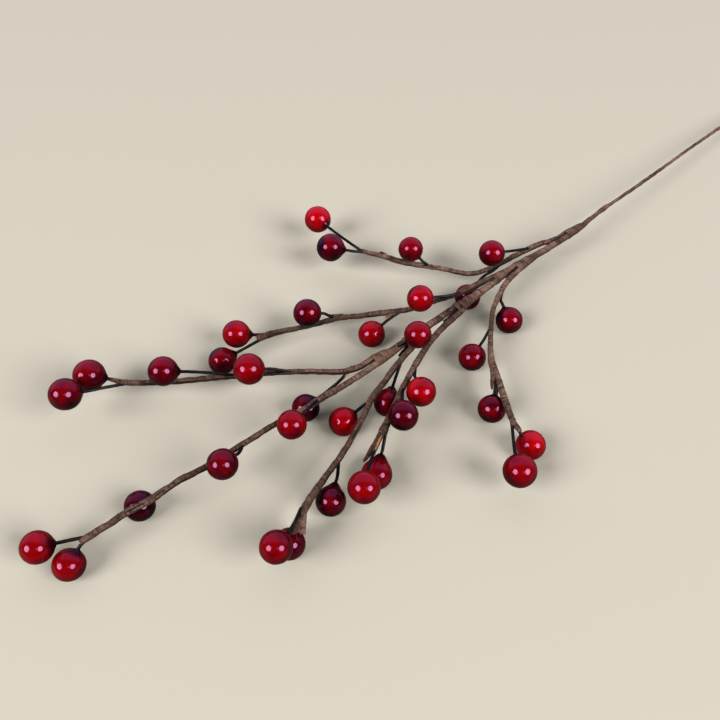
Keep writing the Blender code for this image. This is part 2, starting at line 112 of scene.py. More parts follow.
# A bead's shade runs from 0, clear bright red, to 1, almost black. Height None: it rests on the table.
# Its wire leaves the named stem at the first point and heads for the bead from the last one. Its neck is
# the length of the point of lacquer that is drawn out along the wire.
Berry = namedtuple("Berry", "number stem radius centre wire neck shade")
BERRIES = [
    Berry(1, "side_stem_a", 5.1, (-51.5, 61.5, 11),
          [(-48.6, 36.8, 10.8), (-50.2, 47, 11.2)], 0.8, 0.07),
    Berry(2, "side_stem_a", 5.2, (-57.5, 45, 12),
          [(-48, 36.4, 10.6), (-52, 38.4, 11.9)], 0.9, 0.52),
    Berry(3, "side_stem_a", 4.6, (-35, 25, 13),
          [(-31, 18.6, 6.9), (-32.6, 20.6, 8.8)], 0.5, 0.36),
    Berry(4, "side_stem_a", 4.8, (-13, 4.5, 13.5),
          [(3.5, 0.8, 8.9), (-3, 1.8, 11), (-7, 2.6, 12.3)], 0.4, 0.41),
    Berry(5, "side_stem_a", 4.7, (-28.5, -0.5, None),
          [(-9.5, 2.2, 7.2), (-13.5, 1.9, 6.7), (-17.9, 2.3, 6.2), (-21.8, 1.6, 5.5)], 0.5, 0.4),
    Berry(6, "side_stem_c", 4.7, (-49.5, 3, 14.8),
          [(-34.5, -1.3, 11.5), (-37.1, -1, 11.8), (-40.8, 0.3, 12.3), (-43.3, 1, 13.1)], 0.5, 0.17),
    Berry(7, "side_stem_c", 4.75, (-67.5, 7.5, None),
          [(-54.5, 7.2, 7.6), (-60, 7.7, 6.4)], 0.5, 0.25),
    Berry(8, "main_stem", 4.6, (-61.5, -9.5, 16),
          [(-68.5, -6.2, 10.4), (-66, -6.9, 12.2)], 0.5, 0.36),
    Berry(9, "side_stem_c", 4.9, (-83.5, 23.5, 12.6),
          [(-74.8, 20.1, 7.1), (-76.3, 21.3, 8.2), (-77.4, 21.9, 9.4)], 0.5, 0.62),
    Berry(10, "side_stem_c", 4.8, (-107, 33, 9.6),
          [(-99.5, 28.2, 8.3), (-101.8, 29.4, 8.7)], 1.0, 0.27),
    Berry(11, "side_stem_c", 4.7, (-115.5, 30, None),
          [(-100.3, 27.2, 7.7), (-105.4, 28.1, 6.6), (-108.3, 29, 5.5)], 1.1, 0.43),
    Berry(12, "side_stem_f", 5.1, (-113.5, 13.5, 15.5),
          [(-101, 8.3, 9), (-106.2, 11.7, 11.4)], 0.6, 0.31),
    Berry(13, "side_stem_f", 4.9, (-135.5, 31, 14),
          [(-116, 18.7, 8.3), (-122, 22.6, 10.6), (-128.4, 26.5, 12.6)], 0.8, 0.55),
    Berry(14, "side_stem_f", 5.2, (-155, 45.5, 12.5),
          [(-148.3, 39.2, 10.4), (-149.8, 41, 10.8)], 0.8, 0.46),
    Berry(15, "side_stem_f", 5.1, (-164.5, 40, 16.5),
          [(-146.8, 37.3, 9.8), (-149.5, 38.3, 10.1), (-153.6, 39, 11.5), (-157.6, 39.4, 13)], 0.7, 0.52),
    Berry(16, "side_stem_f", 4.6, (-104, -3.5, None),
          [(-84, -2.8, 9.7), (-90, -4, 8.3), (-95.5, -3.3, 5.5)], 0.7, 0.72),
    Berry(17, "main_stem", 4.6, (-114.5, -12, 15),
          [(-100.5, -6.7, 10.3), (-106.6, -9.6, 13.7)], 0.6, 0.34),
    Berry(18, "side_stem_e", 4.8, (-97.5, -15.5, None),
          [(-87.8, -17.5, 9.7), (-89.6, -15.9, 7)], 0.5, 0.2),
    Berry(19, "main_stem", 4.7, (-138.5, -11, 15.5),
          [(-129.6, -6.6, 10.7), (-131, -8, 11.4), (-132.3, -9.1, 12.6)], 0.5, 0.52),
    Berry(20, "main_stem", 4.65, (-163.5, -1.5, None),
          [(-155, -5, 10), (-158.1, -5.1, 9.2), (-159.3, -4.3, 7.8)], 0.6, 0.74),
    Berry(21, "main_stem", 4.75, (-192.5, 2, 9.3),
          [(-180, -3.7, 9.2), (-183.5, -2.1, 9.3)], 0.7, 0.27),
    Berry(22, "main_stem", 4.7, (-188, -5.5, None),
          [(-181, -4.3, 8.9), (-182.8, -4.7, 8.6)], 0.9, 0.38),
    Berry(23, "side_stem_e", 4.75, (-140, -41, 13.3),
          [(-127.2, -34.5, 10.4), (-131.5, -37.6, 12.1), (-134.2, -39.3, 13.2)], 0.8, 0.45),
    Berry(24, "side_stem_e", 4.7, (-135, -39, None),
          [(-127, -36, 9.6), (-129.5, -37.6, 8.4)], 0.8, 0.57),
    Berry(25, "side_stem_e", 4.65, (-117.5, -35.5, None),
          [(-108.6, -27.9, 9.3), (-111.1, -30.4, 5.5)], 1.5, 0.58),
    Berry(26, "side_stem_d", 4.9, (-109.5, -41.5, 12.9),
          [(-93.4, -29.7, 10.3), (-98.8, -33, 11), (-103.6, -36.5, 12.1)], 0.5, 0.32),
    Berry(27, "side_stem_d", 4.85, (-101, -37, None),
          [(-89.8, -28.4, 9.2), (-91.6, -29.6, 8.4), (-94.8, -32.2, 6.6)], 1.9, 0.43),
    Berry(28, "side_stem_e", 4.6, (-81.5, -18.5, None),
          [(-69, -10.7, 9.9), (-74.9, -14.1, 6.2)], 1.5, 0.5),
    Berry(29, "side_stem_d", 4.8, (-85, -30, 14),
          [(-76.5, -20, 9.7), (-80, -23.7, 12.9)], 1.3, 0.63),
    Berry(30, "side_stem_d", 4.85, (-73.5, -25.5, 11.5),
          [(-67, -15.4, 9.9), (-70.2, -18.6, 10.2)], 0.35, 0.19),
    Berry(31, "side_stem_b", 4.8, (-24.5, -18, None),
          [(-20, -9.1, 9.8), (-22.8, -11.2, 8.3)], 0.5, 0.46),
    Berry(32, "side_stem_b", 4.75, (-46.5, -22, None),
          [(-35, -18.6, 9.3), (-38.8, -19.6, 5.9)], 0.6, 0.46),
    Berry(33, "side_stem_b", 4.65, (-56, -41.5, None),
          [(-49.6, -35.6, 9.1), (-51.4, -37.5, 8.9), (-53, -38.9, 7.9)], 0.4, 0.56),
    Berry(34, "side_stem_b", 4.75, (-56, -59, None),
          [(-57.5, -53.4, 9.4), (-57.9, -55.4, 8.6)], 0.2, 0.13),
    Berry(35, "side_stem_b", 5.15, (-68.5, -65, 10.5),
          [(-57.4, -50.8, 9.4), (-58.4, -51.9, 9.6), (-62, -55.9, 10.2), (-64.7, -59, 10.5)], 0.7, 0.41),
]
BRIGHT_BERRIES = {1, 6, 7, 8, 10, 12, 17, 18, 21, 22, 23, 26, 30, 34, 35}
# Beads whose lacquer hasn't pooled round the neck
CLEAR_NECKS = {34}
# Where a bead is almost black on one side, partly from lacquer that has run and pooled, partly painted
# shadow of neighbouring beads and stems: direction from the bead's centre, and the cosine at which it
# begins
DARK_SIDES = {
    2: (-0.8, 0.6, 0.2, 0.4),
    6: (-0.3, 0.85, 0.42, 0.74),
    11: (-0.1, 0.95, 0.35, 0.4),
    16: (0.8, -0.6, 0.3, 0.4),
    21: (0.9, -0.45, 0.1, 0.62),
    22: (0.6, 0.7, 0.4, 0.68),
    25: (-0.5, 0.6, 0.4, 0.5),
    28: (0.25, -0.85, 0.0, 0.3),
    31: (-0.4, 0.8, 0.1, 0.45),
    33: (0.8, -0.3, 0.2, 0.4),
}

# Beads
BEAD_MERIDIANS = 48
BEAD_PARALLELS = 44
FLAT_SPOT = 0.4             # depth of the flat that a low bead rests on
NECK_SPREAD = 9             # degrees from the wire over which the lacquer point fades
NECK_SHOULDER = 7           # more degrees for each millimetre of the point's length
BEAD_UNEVENNESS = 0.012     # share of the radius
BEAD_WAVES = 1.3            # waves of unevenness over a bead
BEAD_SEED = 1.7             # step in the noise from one bead to the next

# Shade of the lacquer, with painted shade below, and pooled lacquer with painted shadow on some beads'
# sides
BEAD_PAINTED_SHADE = 0.38      # painted shade: how much darker a bead is below than on top
BEAD_PAINTED_SHADE_START = 0.75      # height on the bead at which the painted shade begins, as a share of the radius
BEAD_PAINTED_SHADE_FADE = 1.1        # share of the radius over which the painted shade deepens
PATCH_SHADE = 0.13          # how much patches of thin and thick lacquer differ
PATCH_WAVES = 1.1
PATCH_SEED = 3.1
POOL_AND_SHADOW_SHADE = 0.95           # where lacquer has pooled, and the deepest painted shadow on a dark side
POOL_WIDTH = 16             # degrees from the wire over which it has pooled round the neck
POOL_PER_NECK = 8           # more degrees for each millimetre of the point's length
POOL_WANDER = 6             # degrees by which the pool's edge wanders
POOL_WAVES = 1.7
POOL_FULL = 0.45            # share of the pool's width that is darkest throughout
DARK_SIDE_DEPTH = 0.85            # depth of the darkening at a bead's side, pooled lacquer and painted shadow, as a share of the full darkening round a neck
DARK_SIDE_FADE = 0.35             # change of the cosine over which that darkening begins
DARK_SIDE_WANDER = 0.12

# Wires
WIRE_RADIUS = 0.52
WIRE_REACH = 1.2            # how far the wire's end stands inside the bead's surface
WIRE_CLEARANCE = 0.45       # share of the way from the bead to its last point where the wire is straight
WIRE_STEP = 0.5             # between the rings of a wire
WIRE_SIDES = 12
WIRE_DRIPS = 0.10           # unevenness of the coat, as a share of the radius
DRIP_WAVES = 0.5

# Tape
# How stained each stem's paper is, from 0 to 1. The main stem's grows towards its tip.
STAINS = {
    "main_stem": 0.05, "side_stem_a": 0.05, "side_stem_b": 0.0, "side_stem_c": 0.55, "side_stem_d": 0.3,
    "side_stem_e": 0.6, "side_stem_f": 0.38,
}
TIP_STAIN = 0.35            # more at the main stem's tip
TIP_STAIN_START = -85       # x from which it grows, and the length over which it does
TIP_STAIN_LENGTH = 40
TAPE_SHADE_START = 0.9             # height on a stem below which painted shade darkens the paper's sides and underside, as a share of the radius
# Painted shade on a stem's sides and underside
TAPE_SHADE_BELOW = 0.6
BLOTCH_STAIN = 0.35
BLOTCH_WAVES = 0.11         # along a stem, in a millimetre
BLOTCH_ROUND = 0.8          # round a stem
TAPE_STEP = 0.3             # between the rings of the wound tube
TAPE_SIDES = 20
TAPE_EDGE = 0.13            # height of the step where one turn of tape laps the last
TAPE_EDGE_SHARE = 0.10      # share of a turn over which the step rises
TAPE_EDGE_MEAN = 0.4        # share of the step taken off all round, so that a stem keeps its radius
TAPE_LUMPS = 0.10           # height of the lumps over the wires inside
LUMP_WAVES = (0.35, 1.2)    # along a stem, in a millimetre, and round it
TAPE_CREASES = 0.035
CREASE_WAVES = (1.3, 1.5)
CORE_BULGE = 0.05           # how far from round a stem is, as a share of its radius
CORE_TWIST = 0.11           # how fast its wires twist, in radians a millimetre
PITCH_WAVES = 0.05          # of the tape's uneven advance
MAIN_PITCH = 6.0            # advance of the tape with each turn
SIDE_PITCH = 4.6
ROOT_INSIDE = 1.5           # how far inside its binding a side stem's own tape starts
ROOT_GAP = 0.5              # least way from there to the next point of its route

# Bindings
HULL_VIEWS = 36             # directions in which a binding is drawn tight round its stems
HULL_LEAST_FACING = 0.1     # cosine below which such a direction doesn't bear on a point
BINDING_OPENING = 1.6       # how fast a binding opens from the main stem alone to both stems
BINDING_THICKNESS = 0.10
BINDING_TUCK = 0.12         # how far its start is sunk in the main stem's tape
BINDING_SIDES = TAPE_SIDES + 4
BINDING_WANDER = 0.3        # uneven advance of its tape, as a share of a turn
BINDING_PITCH_WAVES = 0.2
BINDING_LUMP_WAVES = (0.4, 1.3)
BINDING_STAIN = 0.5         # share of the side stem's stain at the crotch
BINDING_STAIN_LENGTH = 6
BINDING_RAGGED = 0.3        # how ragged its torn end is, the length that it takes in, and its waves
BINDING_END = 1.2
BINDING_TEAR_WAVES = 0.9

# Dark wires in slits, which also stand in for the shade there
SLIT_POINTS = 7
SLIT_RISE = 0.75            # how far a wire stands up out of a closed slit
SLIT_OPEN = 1.2             # width of the slit at which it no longer does
SLIT_TAPER = 0.35
SLIT_LUMPS = 0.5
SLIT_WAVES = 0.6

# Where tape binds a side stem to the main stem: side stem, x of the start, x of the crotch
BINDINGS = [
    ("side_stem_a", 37, 19.5), ("side_stem_b", 8, -8), ("side_stem_c", -6, -19.5),
    ("side_stem_d", -27, -37.5), ("side_stem_e", -52.5, -64), ("side_stem_f", -66, -77),
]
# Dark wires laid in the slit beyond a crotch, which also stand in for the shade in the slit: side stem, x
# of the start and end, thickness
SLIT_WIRES_AND_SHADE = [
    ("side_stem_a", 21, 10, 0.40), ("side_stem_b", -6.5, -15, 0.42), ("side_stem_c", -18.5, -33, 0.40),
    ("side_stem_d", -36, -47, 0.45), ("side_stem_e", -63, -69, 0.55), ("side_stem_f", -76, -87, 0.32),
]

# Short strands of tape beside a stem or round the root of a wire: stem and points with radius
STRANDS = [
    ("side_stem_b", [(-45.5, -29.8, 9.2, 0.75), (-48.2, -32.8, 9.2, 0.8), (-50.2, -34.9, 9.2, 0.75),
                     (-51.9, -36.5, 8.9, 0.58), (-53, -37.6, 8.5, 0.3)]),
    ("side_stem_d", [(-92.4, -29.3, 10.1, 0.6), (-95, -30.9, 10.6, 0.6), (-98, -32.6, 10.9, 0.58),
                     (-99.8, -33.7, 11.1, 0.5)]),
    ("side_stem_c", [(-71.5, 18.6, 7, 0.7), (-74, 20, 7.2, 0.75), (-75.4, 20.8, 7.6, 0.55)]),
    ("main_stem", [(-151.5, -4.8, 10.6, 0.45), (-156, -4.75, 10.75, 0.58), (-161, -4.85, 10.75, 0.6),
                   (-167, -4.1, 10.5, 0.6), (-172, -3.9, 10, 0.5), (-177, -4, 9.5, 0.25)]),
]
# Dark wires at the edge of the tape, which also stand in for the shade along a stem's edge and between
# strands: stem, x of the start and end, and degrees round the stem, over its top, from the side that
# lies to the right as it runs to its tip
SEAM_WIRES_AND_SHADE = [
    ("main_stem", -97, -104, 155), ("main_stem", -119, -126, 165), ("main_stem", -137, -158, 160),
    ("side_stem_a", -19, -25, 170), ("side_stem_a", -29, -33, 130),
    ("side_stem_c", -60, -65, 165), ("side_stem_c", -78, -85, 150), ("side_stem_c", -92, -99, 155),
    ("side_stem_d", -63, -68, 160), ("side_stem_e", -71, -82, 150), ("side_stem_e", -96, -102, 115),
    ("side_stem_e", -104, -118, 155), ("side_stem_f", -86, -99, 150), ("side_stem_f", -100, -111, 125),
    ("side_stem_f", -116, -142, 155),
]
SEAM_WIRE = 0.22            # radius
SEAM_STEP = 1.2
SEAM_WANDER = 0.25          # radians by which such a wire wanders round the stem
SEAM_WAVES = 0.3
SEAM_SUNK = 0.06            # how far it is sunk in the tape, and how much that changes
SEAM_SUNK_CHANGE = 0.08
SEAM_SUNK_WAVES = 0.5

# Cut and looped ends of wire: points and radius
WIRE_ENDS = [
    ([(-38.9, -6.4, 10.9), (-38.7, -6.9, 11.9)], 0.42),
    ([(-42.2, 31.8, 9.6), (-43.2, 33.1, 9.9)], 0.6),
    ([(-41, -5.6, 11), (-41.7, -4.8, 11.25), (-42.9, -4.7, 11.25), (-43.5, -5.1, 11.2),
      (-42.9, -5.8, 10.9), (-41.8, -5.9, 10.8), (-40.9, -5.5, 11)], 0.2),
    ([(-36.5, -1.9, 11.6), (-40.5, -0.5, 11.7), (-44, 1.2, 12)], 0.35),
    ([(-49.9, -36.7, 9), (-51.2, -38.2, 8.8), (-53, -39.9, 7.4)], 0.45),
    ([(-153.5, -5.1, 10.9), (-156, -5.35, 10.98), (-159.4, -5.5, 10.8)], 0.17),
    ([(-161.6, -5.45, 10.8), (-164.5, -5.1, 10.9), (-167.5, -4.7, 10.75), (-169.5, -4.5, 10.4)], 0.19),
    ([(-74.9, 20.2, 7.6), (-76.1, 21.1, 8)], 0.6),
]
# The steel wire in the handle, up to its cut end: points with radius
HANDLE_CORE = [(191, 7.24, 1.25, 0.5), (197.1, 7.51, 0.9, 0.5)]

# Scraps of torn tape: points along the middle with the width there, the direction across, and how far
# the edges curl down
Scrap = namedtuple("Scrap", "points across curl")
SCRAPS = [
    # Flap at the end of stem e
    Scrap([(-125.2, -33.8, 10.6, 1.8), (-127.6, -36, 10.9, 2.4), (-130.2, -38.4, 11.2, 3.4),
           (-133.4, -41.6, 11.5, 4.6)], (0.788, -0.616, 0.05), 0.25),
    # Collar at the knot
    Scrap([(-38.9, -3.4, 10.6, 2.0), (-39.2, -4.6, 11.5, 1.9), (-39.3, -6.2, 11.7, 1.7),
           (-39.1, -7.9, 11.3, 1.8), (-38.8, -8.9, 10.3, 1.6)], (0.95, 0.1, 0.1), 0.15),
    # Torn edge beside wire 7
    Scrap([(-56.3, 7.9, 7.9, 1.7), (-58.5, 8.6, 7.4, 1.3), (-60.5, 8.6, 6.9, 0.5)],
          (0.3, 0.95, 0.1), 0.1),
    # Stub on stem a
    Scrap([(-41.8, 31.2, 9.7, 1.6), (-42.6, 32.3, 9.9, 1.3), (-43.2, 33.2, 9.7, 0.9)],
          (0.7, -0.7, 0.3), 0.2),
    # Torn end above beads 34 and 35
    Scrap([(-56.6, -50.2, 10.2, 2.0), (-57.6, -51.6, 10.4, 1.8), (-58.5, -52.5, 10.2, 1.3)],
          (0.75, -0.65, 0), 0.2),
]
SCRAP_LENGTHWISE = 16       # faces along and across
SCRAP_CROSSWISE = 8
SCRAP_THICKNESS = 0.14
SCRAP_LENGTH = 0.9          # mean length, as a share of its points', and how ragged the far end is
SCRAP_RAGGED = 0.12
SCRAP_TEETH = 2.5           # waves across the torn end
SCRAP_UNEVEN_WIDTH = 0.15
SCRAP_WIDTH_WAVES = 4
SCRAP_BUCKLE = 0.16         # how far it buckles
SCRAP_BUCKLE_WAVES = (3, 1.5)

# Traces of glue: start, end and radius
GLUE = [
    ((-93.3, -29.9, 10.8), (-98.6, -33.1, 11.4), 0.34),
    ((-94.2, -30.2, 10.9), (-97, -31.9, 11.3), 0.24),
    ((-59.8, 8.2, 8), (-61.6, 8.6, 7.1), 0.17),
    ((-87.4, -5.2, 10.9), (-88.9, -5, 10.6), 0.3),
    ((-38.3, -7.2, 11.2), (-38.9, -7.6, 11), 0.3),
]
GLUE_STEP = 0.25
GLUE_ENDS = (0.3, 0.2)      # share of the radius at the start and at the end


# Node helpers

def connect(tree, node, sockets):
    """Sets a node's inputs, each given as a plain value or as the socket that feeds it."""
    for socket, value in sockets.items():
        if isinstance(value, bpy.types.NodeSocket):
            tree.links.new(value, node.inputs[socket])
        else:
            node.inputs[socket].default_value = value


def add(tree, kind, sockets=None, **settings):
    """Adds a node with its settings and inputs."""
    made = tree.nodes.new(kind)
    for name, value in settings.items():
        setattr(made, name, value)
    connect(tree, made, sockets or {})
    return made


def maths(tree, operation, first, second, clamp=False):
    made = add(tree, "ShaderNodeMath", {0: first, 1: second}, operation=operation, use_clamp=clamp)
    return made.outputs[0]


def spread(tree, value, low, high, to_low=0.0, to_high=1.0):
    """Maps low..high smoothly onto to_low..to_high."""
    made = add(tree, "ShaderNodeMapRange", {0: value, 1: low, 2: high, 3: to_low, 4: to_high},
               interpolation_type="SMOOTHSTEP")
    return made.outputs[0]


def blend_colours(tree, share, first, second):
    return add(tree, "ShaderNodeMix", {0: share, 6: first, 7: second}, data_type="RGBA").outputs[2]


def scaled(tree, vector, scale):
    return add(tree, "ShaderNodeMapping", {0: vector, 3: scale}).outputs[0]


def grain(tree, vector, scale, detail=3.0, roughness=0.5):
    sockets = {"Vector": vector, "Scale": scale, "Detail": detail, "Roughness": roughness}
    return add(tree, "ShaderNodeTexNoise", sockets).outputs["Fac"]


def new_group(name, inputs, outputs):
    """An empty node group, from the names and kinds of its sockets. Gives the tree, its way in and out."""
    tree = bpy.data.node_groups.new(name, "ShaderNodeTree")
    for socket, kind in inputs.items():
        tree.interface.new_socket(socket, in_out="INPUT", socket_type=kind)
    for socket, kind in outputs.items():
        tree.interface.new_socket(socket, in_out="OUTPUT", socket_type=kind)
    return tree, tree.nodes.new("NodeGroupInput"), tree.nodes.new("NodeGroupOutput")


def new_material(name):
    surface = bpy.data.materials.new(name)
    surface.use_nodes = True
    tree = surface.node_tree
    return surface, tree, tree.nodes["Principled BSDF"]


def bump(tree, height, distance, strength=1.0):
    sockets = {"Height": height, "Distance": distance, "Strength": strength}
    return add(tree, "ShaderNodeBump", sockets).outputs["Normal"]


def place_on_part(tree):
    return add(tree, "ShaderNodeTexCoord").outputs["Object"]


def painted(tree, name):
    """A value that the mesh carries at each of its points."""
    return add(tree, "ShaderNodeAttribute", attribute_name=name).outputs["Fac"]


# Materials

# Nearly all of a grain's values lie in this range
GRAIN_RANGE = (0.3, 0.7)

# Grain in waves to the metre, and how much it changes the depth and gloss of the lacquer
POOL_GRAIN = 260
POOL_DEPTH = 0.09
SPECK_GRAIN = 3200
SPECK_RANGE = (0.60, 0.74)
SPECK_DEPTH = 0.10
HAZE_GRAIN = 900
LACQUER_ROUGHNESS = (0.09, 0.13)
PEEL_GRAIN = 700
PEEL_HEIGHT = 0.7
LACQUER_DETAIL = 2
LACQUER_BUMP = 0.000015
LACQUER_IOR = 1.44
GLOSS_TINT = (1.0, 0.55, 0.97, 1)


def lacquer_depth_group():
    """Uneven thickness of the dipped lacquer: pooled patches, fine specks and orange peel, added to the
    shade that it is given, painted shade included.
    """
    tree, way_in, way_out = new_group(
        "lacquer_depth",
        {"Position": "NodeSocketVector", "Shade": "NodeSocketFloat"},
        {"Depth": "NodeSocketFloat", "Roughness": "NodeSocketFloat", "Height": "NodeSocketFloat"},
    )
    position = way_in.outputs["Position"]
    pool_grain, speck_grain, haze_grain, peel_grain = (
        grain(tree, position, waves, LACQUER_DETAIL)
        for waves in (POOL_GRAIN, SPECK_GRAIN, HAZE_GRAIN, PEEL_GRAIN)
    )
    pools = spread(tree, pool_grain, *GRAIN_RANGE, -POOL_DEPTH, POOL_DEPTH)
    specks = spread(tree, speck_grain, *SPECK_RANGE, 0.0, SPECK_DEPTH)
    depth = maths(tree, "ADD", way_in.outputs["Shade"], pools)
    depth = maths(tree, "ADD", depth, specks, clamp=True)
    haze = spread(tree, haze_grain, *GRAIN_RANGE, *LACQUER_ROUGHNESS)
    peel = maths(tree, "MULTIPLY", peel_grain, PEEL_HEIGHT)
    height = maths(tree, "SUBTRACT", peel, specks)
    tree.links.new(depth, way_out.inputs["Depth"])
    tree.links.new(haze, way_out.inputs["Roughness"])
    tree.links.new(height, way_out.inputs["Height"])
    return tree


def lacquer(name, stops, group):
    """Glossy dipped lacquer. stops are pairs of depth and colour, from the thinnest coat on; the depth
    also holds the painted shade that the beads carry.
    """
    surface, tree, shader = new_material(name)
    coat = add(tree, "ShaderNodeGroup", node_tree=group)
    connect(tree, coat, {"Position": place_on_part(tree), "Shade": painted(tree, "shade")})
    ramp = add(tree, "ShaderNodeValToRGB", {"Fac": coat.outputs["Depth"]})
    ramp.color_ramp.interpolation = "EASE"
    band = ramp.color_ramp.elements
    while len(band) < len(stops):
        band.new(0.5)
    for element, (depth, colour) in zip(band, stops):
        element.position = depth
        element.color = (*colour, 1)
    connect(tree, shader, {
        "Base Color": ramp.outputs["Color"],
        "Roughness": coat.outputs["Roughness"],
        "IOR": LACQUER_IOR,
        "Specular Tint": GLOSS_TINT,
        "Normal": bump(tree, coat.outputs["Height"], LACQUER_BUMP),
    })
    return surface


def bright_red_lacquer(group):
    return lacquer("bright_red_lacquer", [
        (0.0, (0.34, 0.0015, 0.0015)),
        (0.35, (0.17, 0.0008, 0.0020)),
        (0.7, (0.055, 0.0005, 0.0025)),
        (1.0, (0.007, 0.0006, 0.0020)),
    ], group)


def burgundy_lacquer(group):
    return lacquer("burgundy_lacquer", [
        (0.0, (0.32, 0.0015, 0.0025)),
        (0.35, (0.16, 0.0008, 0.0030)),
        (0.7, (0.050, 0.0005, 0.0035)),
        (1.0, (0.006, 0.0006, 0.0025)),
    ], group)


# Grain of the paper: in waves to the millimetre along, round and through the tape, and to the metre
CRINKLE_STRETCH = (1.6, 0.35, 1.0)
WINDING_STRETCH = (1.0, 6.0, 1.0)   # the tape's map is in millimetres along, and in turns round
CRINKLE_DETAIL = 4
CRINKLE_ROUGHNESS = 0.6
FIBRE_GRAIN = 4200
FIBRE_ROUGHNESS = 0.65
PATCH_GRAIN = 95


def paper_creases_group():
    """Fine crinkles, fibres and patches of crepe paper. Position follows the winding, Place the part."""
    tree, way_in, way_out = new_group(
        "paper_creases",
        {"Position": "NodeSocketVector", "Place": "NodeSocketVector"},
        {"Crinkle": "NodeSocketFloat", "Fibre": "NodeSocketFloat", "Patch": "NodeSocketFloat"},
    )
    place = way_in.outputs["Place"]
    stretched = scaled(tree, way_in.outputs["Position"], CRINKLE_STRETCH)
    crinkle = grain(tree, stretched, 1.0, CRINKLE_DETAIL, CRINKLE_ROUGHNESS)
    tree.links.new(crinkle, way_out.inputs["Crinkle"])
    tree.links.new(grain(tree, place, FIBRE_GRAIN, roughness=FIBRE_ROUGHNESS), way_out.inputs["Fibre"])
    tree.links.new(grain(tree, place, PATCH_GRAIN), way_out.inputs["Patch"])
    return tree


# Colours of the tape. The darkest is painted shadow, in the folds of the crinkles and at the edges of the
# laps.
TAPE_PAINTED_SHADOW = (0.017, 0.008, 0.005, 1)
# Stain, together with painted shade on a stem's sides and underside
TAPE_STAIN_AND_SHADE = (0.036, 0.018, 0.010, 1)
TAPE_DARK = (0.066, 0.036, 0.026, 1)
TAPE_BROWN = (0.192, 0.115, 0.086, 1)
# Paler: on the tops of the crinkles and in fibres
TAPE_PALE = (0.24, 0.165, 0.135, 1)
PATCH_RANGE = (0.35, 0.68)
RIDGE_RANGE = (0.52, 0.68)
FOLD_SHADE_RANGE = (0.50, 0.35)
FLECK_RANGE = (0.56, 0.72)
# How strongly each effect covers what lies under it
RIDGE_SHARE = 0.6
FOLD_SHADE_SHARE = 0.9
STAIN_AND_SHADE_SHARE = 0.85
LAP_SHADOW_SHARE = 0.75
FLECK_SHARE = 0.30
FIBRE_HEIGHT = 0.25
TAPE_ROUGHNESS = (0.82, 0.96)
TAPE_SPECULAR = 0.25
TAPE_SHEEN = 0.04
TAPE_BUMP = 0.00016
TAPE_BUMP_STRENGTH = 0.9


def wound_tape(group):
    """Matte brown crepe paper wound in a long spiral, with painted shadow in the folds of its crinkles and
    at the edges of its laps, stain and painted shade on its sides and underside, and paler on the tops of
    its crinkles.
    """
    surface, tree, shader = new_material("wound_crepe_tape")
    wound = add(tree, "ShaderNodeUVMap", uv_map="wound").outputs["UV"]
    paper = add(tree, "ShaderNodeGroup", node_tree=group)
    connect(tree, paper, {"Position": scaled(tree, wound, WINDING_STRETCH), "Place": place_on_part(tree)})
    crinkle = paper.outputs["Crinkle"]
    fibre = paper.outputs["Fibre"]
    colour = blend_colours(tree, spread(tree, paper.outputs["Patch"], *PATCH_RANGE), TAPE_DARK, TAPE_BROWN)
    # Over the paper's colour: paler on the crinkles' tops, painted shadow in their folds, stain with
    # painted shade on the sides and underside, and painted shadow at the edges of the laps.
    covers = [
        (spread(tree, crinkle, *RIDGE_RANGE), RIDGE_SHARE, TAPE_PALE),
        (spread(tree, crinkle, *FOLD_SHADE_RANGE), FOLD_SHADE_SHARE, TAPE_PAINTED_SHADOW),
        (painted(tree, "stain_and_shade"), STAIN_AND_SHADE_SHARE, TAPE_STAIN_AND_SHADE),
        (painted(tree, "lap"), LAP_SHADOW_SHARE, TAPE_PAINTED_SHADOW),
    ]
    for mask, share, cover in covers:
        colour = blend_colours(tree, maths(tree, "MULTIPLY", mask, share), colour, cover)
    fleck = spread(tree, fibre, *FLECK_RANGE, 0.0, FLECK_SHARE)
    colour = blend_colours(tree, fleck, colour, TAPE_PALE)
    height = maths(tree, "ADD", crinkle, maths(tree, "MULTIPLY", fibre, FIBRE_HEIGHT))
    connect(tree, shader, {
        "Base Color": colour,
        "Roughness": spread(tree, fibre, *GRAIN_RANGE, *TAPE_ROUGHNESS),
        "Specular IOR Level": TAPE_SPECULAR,
        "Sheen Weight": TAPE_SHEEN,
        "Normal": bump(tree, height, TAPE_BUMP, TAPE_BUMP_STRENGTH),
    })
    return surface


WIRE_BLACK = (0.002, 0.001, 0.001, 1)
WIRE_WORN = (0.008, 0.004, 0.004, 1)
WIRE_FLUFF = (0.035, 0.018, 0.013, 1)
WIRE_GRAIN = 900
FLUFF_GRAIN = 420
FLUFF_ROUGHNESS = 0.6
FLUFF_RANGE = (0.56, 0.70)
FLUFF_SHARE = 0.55
WIRE_ROUGHNESS = (0.32, 0.55)
WIRE_SPECULAR = 0.25
WIRE_BUMP = 0.00012
WIRE_BUMP_STRENGTH = 0.7


def dark_wire():
    """Near-black lacquered wire with brown paper fluff caught on it."""
    surface, tree, shader = new_material("dark_wire")
    place = place_on_part(tree)
    film = grain(tree, place, WIRE_GRAIN)
    fluff = grain(tree, place, FLUFF_GRAIN, roughness=FLUFF_ROUGHNESS)
    colour = blend_colours(tree, spread(tree, film, *GRAIN_RANGE), WIRE_BLACK, WIRE_WORN)
    colour = blend_colours(tree, spread(tree, fluff, *FLUFF_RANGE, 0.0, FLUFF_SHARE), colour, WIRE_FLUFF)
    connect(tree, shader, {
        "Base Color": colour,
        "Roughness": spread(tree, film, *GRAIN_RANGE, *WIRE_ROUGHNESS),
        "Specular IOR Level": WIRE_SPECULAR,
        "Normal": bump(tree, film, WIRE_BUMP, WIRE_BUMP_STRENGTH),
    })
    return surface


